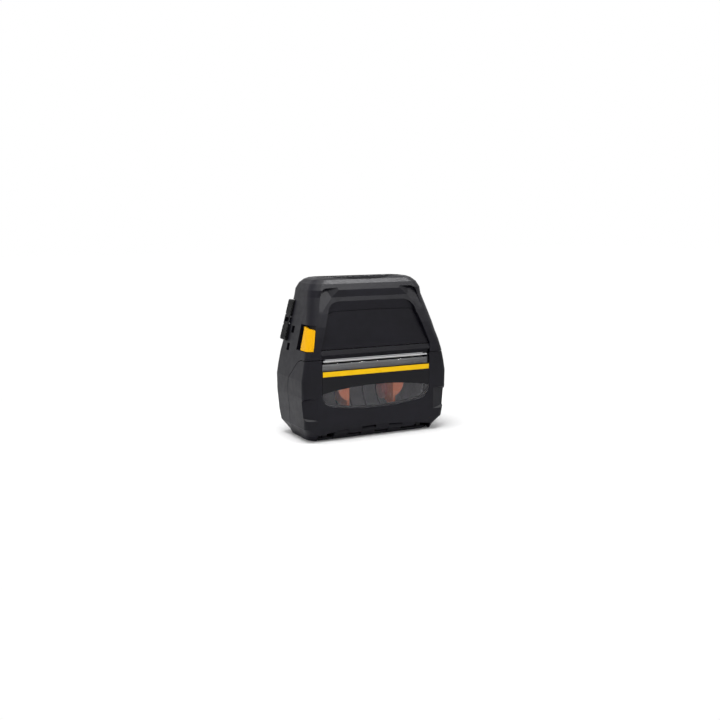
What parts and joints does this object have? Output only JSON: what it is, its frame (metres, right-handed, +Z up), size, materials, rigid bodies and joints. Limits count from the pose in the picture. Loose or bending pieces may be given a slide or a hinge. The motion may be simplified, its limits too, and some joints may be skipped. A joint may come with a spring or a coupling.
{
  "type": "portable label printer",
  "caption": "Portable label printer: hinged media door with a clear window and platen, push latch, sliding roll guides, battery and key panel on the top",
  "frame": {"origin": "on the ground under the middle of the body, which stands on its feet", "axes": "+X across the width, -Y out of the front with the media door, +Z up"},
  "size_m": [0.1586, 0.067, 0.1555],
  "materials": {
    "housing_plastic": "fine moulded texture",
    "inner_plastic": "fine moulded texture",
    "panel_gloss": "satin",
    "key_rubber": "matte",
    "yellow_plastic": "satin",
    "yellow_ink": "satin",
    "smoke_lens": "polished",
    "cover_rubber": "matte",
    "foot_rubber": "matte",
    "platen_rubber": "ground",
    "steel": "brushed",
    "motor_steel": "plated",
    "gear_acetal": "moulded",
    "orange_clear": "polished",
    "orange_solid": "polished",
    "board_green": "lacquered",
    "chip_black": "moulded",
    "light_clear": "polished",
    "ceramic": "glazed",
    "aluminium": "extruded",
    "gold_contact": "plated",
    "socket_plastic": "moulded"
  },
  "bodies": {
    "printer": {"main_housing": "housing_plastic", "front_panel": "panel_gloss", "printhead_cover": "inner_plastic", "tear_bar": "steel", "rear_cover": "housing_plastic", "case_screws": "steel", "base_plate": "housing_plastic", "rubber_feet": "foot_rubber", "left_frame_plate": "steel", "right_frame_plate": "steel", "media_bay": "inner_plastic", "label_sensor": "inner_plastic", "guide_rail": "steel", "main_board": "board_green", "board_chips": "chip_black", "key_board": "board_green", "control_bezel": "inner_plastic", "display_lens": "smoke_lens", "display_module": "chip_black", "status_lights": "light_clear", "printhead": "ceramic", "heat_sink": "aluminium", "head_springs": "steel", "head_beam": "steel", "drive_motor": "motor_steel", "battery_tray": "inner_plastic", "battery_contacts": "gold_contact", "port_block": "inner_plastic", "port_hinge_pins": "steel", "power_socket": "socket_plastic", "data_socket": "socket_plastic", "door_hinge_pin": "steel"},
    "door": {"media_door": "housing_plastic", "door_lens": "smoke_lens", "yellow_stripe": "yellow_ink", "door_frame": "inner_plastic", "platen_bushes": "gear_acetal"},
    "platen": {"platen_roller": "platen_rubber", "platen_shaft": "steel", "platen_gear": "gear_acetal"},
    "idler": {"idler_gear": "gear_acetal"},
    "rotor": {"motor_pinion": "gear_acetal"},
    "latch": {"latch_shaft": "steel", "latch_hooks": "steel", "latch_lever": "steel"},
    "button": {"latch_button": "yellow_plastic"},
    "left_guide": {"left_roll_guide": "orange_clear"},
    "left_disc": {"left_roll_disc": "orange_solid"},
    "right_guide": {"right_roll_guide": "orange_clear"},
    "right_disc": {"right_roll_disc": "orange_solid"},
    "rack_pinion": {"guide_pinion": "gear_acetal"},
    "upper_cover": {"upper_port_cover": "cover_rubber"},
    "lower_cover": {"lower_port_cover": "cover_rubber"},
    "battery": {"battery_pack": "housing_plastic"},
    "battery_catch": {"battery_latch": "housing_plastic"},
    "power_key": {"power_button": "key_rubber"},
    "feed_key": {"feed_button": "key_rubber"},
    "nav_key": {"navigation_pad": "key_rubber"},
    "left_key": {"left_soft_key": "key_rubber"},
    "right_key": {"right_soft_key": "key_rubber"}
  },
  "joints": [
    {"name": "door_hinge", "type": "hinge", "parent": "printer", "child": "door", "pos_m": [0, -0.027, 0.0075], "axis": [1, 0, 0], "range_deg": [0, 80]},
    {"name": "platen_spin", "type": "hinge", "parent": "door", "child": "platen", "pos_m": [0, -0.0225, 0.0705], "axis": [1, 0, 0], "continuous": true},
    {"name": "idler_spin", "type": "hinge", "parent": "printer", "child": "idler", "pos_m": [0.064, -0.00854, 0.0695], "axis": [1, 0, 0], "continuous": true},
    {"name": "motor_spin", "type": "hinge", "parent": "printer", "child": "rotor", "pos_m": [0.06, -0.0025, 0.08056], "axis": [1, 0, 0], "continuous": true},
    {"name": "button_slide", "type": "slide", "parent": "printer", "child": "button", "axis": [0, 1, 0], "range_m": [0, 0.0035], "stiffness_N_per_m": 400, "springref_m": -0.003},
    {"name": "latch_turn", "type": "hinge", "parent": "printer", "child": "latch", "pos_m": [0, -0.015, 0.081], "axis": [1, 0, 0], "range_deg": [-13, 0]},
    {"name": "left_guide_slide", "type": "slide", "parent": "printer", "child": "left_guide", "axis": [-1, 0, 0], "range_m": [-0.0115, 0.029]},
    {"name": "right_guide_slide", "type": "slide", "parent": "printer", "child": "right_guide", "axis": [1, 0, 0], "range_m": [-0.0115, 0.029]},
    {"name": "rack_pinion_turn", "type": "hinge", "parent": "printer", "child": "rack_pinion", "pos_m": [0, 0, 0.0044], "axis": [0, 0, 1], "range_deg": [-360, 180]},
    {"name": "left_disc_spin", "type": "hinge", "parent": "left_guide", "child": "left_disc", "pos_m": [-0.023, 0, 0.04], "axis": [1, 0, 0], "continuous": true},
    {"name": "right_disc_spin", "type": "hinge", "parent": "right_guide", "child": "right_disc", "pos_m": [0.023, 0, 0.04], "axis": [1, 0, 0], "continuous": true},
    {"name": "upper_port_cover_hinge", "type": "hinge", "parent": "printer", "child": "upper_cover", "pos_m": [-0.06844, 0.0248, 0.11643], "axis": [0, -1, 0], "range_deg": [0, 80]},
    {"name": "lower_port_cover_hinge", "type": "hinge", "parent": "printer", "child": "lower_cover", "pos_m": [-0.07019, 0.0248, 0.10986], "axis": [0, 1, 0], "range_deg": [0, 80]},
    {"name": "battery_slide", "type": "slide", "parent": "printer", "child": "battery", "axis": [0, 1, 0], "range_m": [0, 0.04]},
    {"name": "battery_latch_slide", "type": "slide", "parent": "printer", "child": "battery_catch", "axis": [0, 0, -1], "range_m": [0, 0.002], "stiffness_N_per_m": 300, "springref_m": -0.002},
    {"name": "power_press", "type": "slide", "parent": "printer", "child": "power_key", "axis": [0, 0, -1], "range_m": [0, 0.0006], "stiffness_N_per_m": 500, "springref_m": -0.0004},
    {"name": "feed_press", "type": "slide", "parent": "printer", "child": "feed_key", "axis": [0, 0, -1], "range_m": [0, 0.0006], "stiffness_N_per_m": 500, "springref_m": -0.0004},
    {"name": "navigation_press", "type": "slide", "parent": "printer", "child": "nav_key", "axis": [0, 0, -1], "range_m": [0, 0.0006], "stiffness_N_per_m": 500, "springref_m": -0.0004},
    {"name": "left_soft_press", "type": "slide", "parent": "printer", "child": "left_key", "axis": [0, 0, -1], "range_m": [0, 0.0006], "stiffness_N_per_m": 500, "springref_m": -0.0004},
    {"name": "right_soft_press", "type": "slide", "parent": "printer", "child": "right_key", "axis": [0, 0, -1], "range_m": [0, 0.0006], "stiffness_N_per_m": 500, "springref_m": -0.0004}
  ],
  "couplings": [
    {"joint": "idler_spin", "follows": "platen_spin", "ratio": -0.81818},
    {"joint": "motor_spin", "follows": "platen_spin", "ratio": 1.2857},
    {"joint": "latch_turn", "follows": "button_slide", "rad_per_m": -64.3},
    {"joint": "right_guide_slide", "follows": "left_guide_slide", "ratio": 1},
    {"joint": "rack_pinion_turn", "follows": "left_guide_slide", "rad_per_m": -166.67}
  ]
}
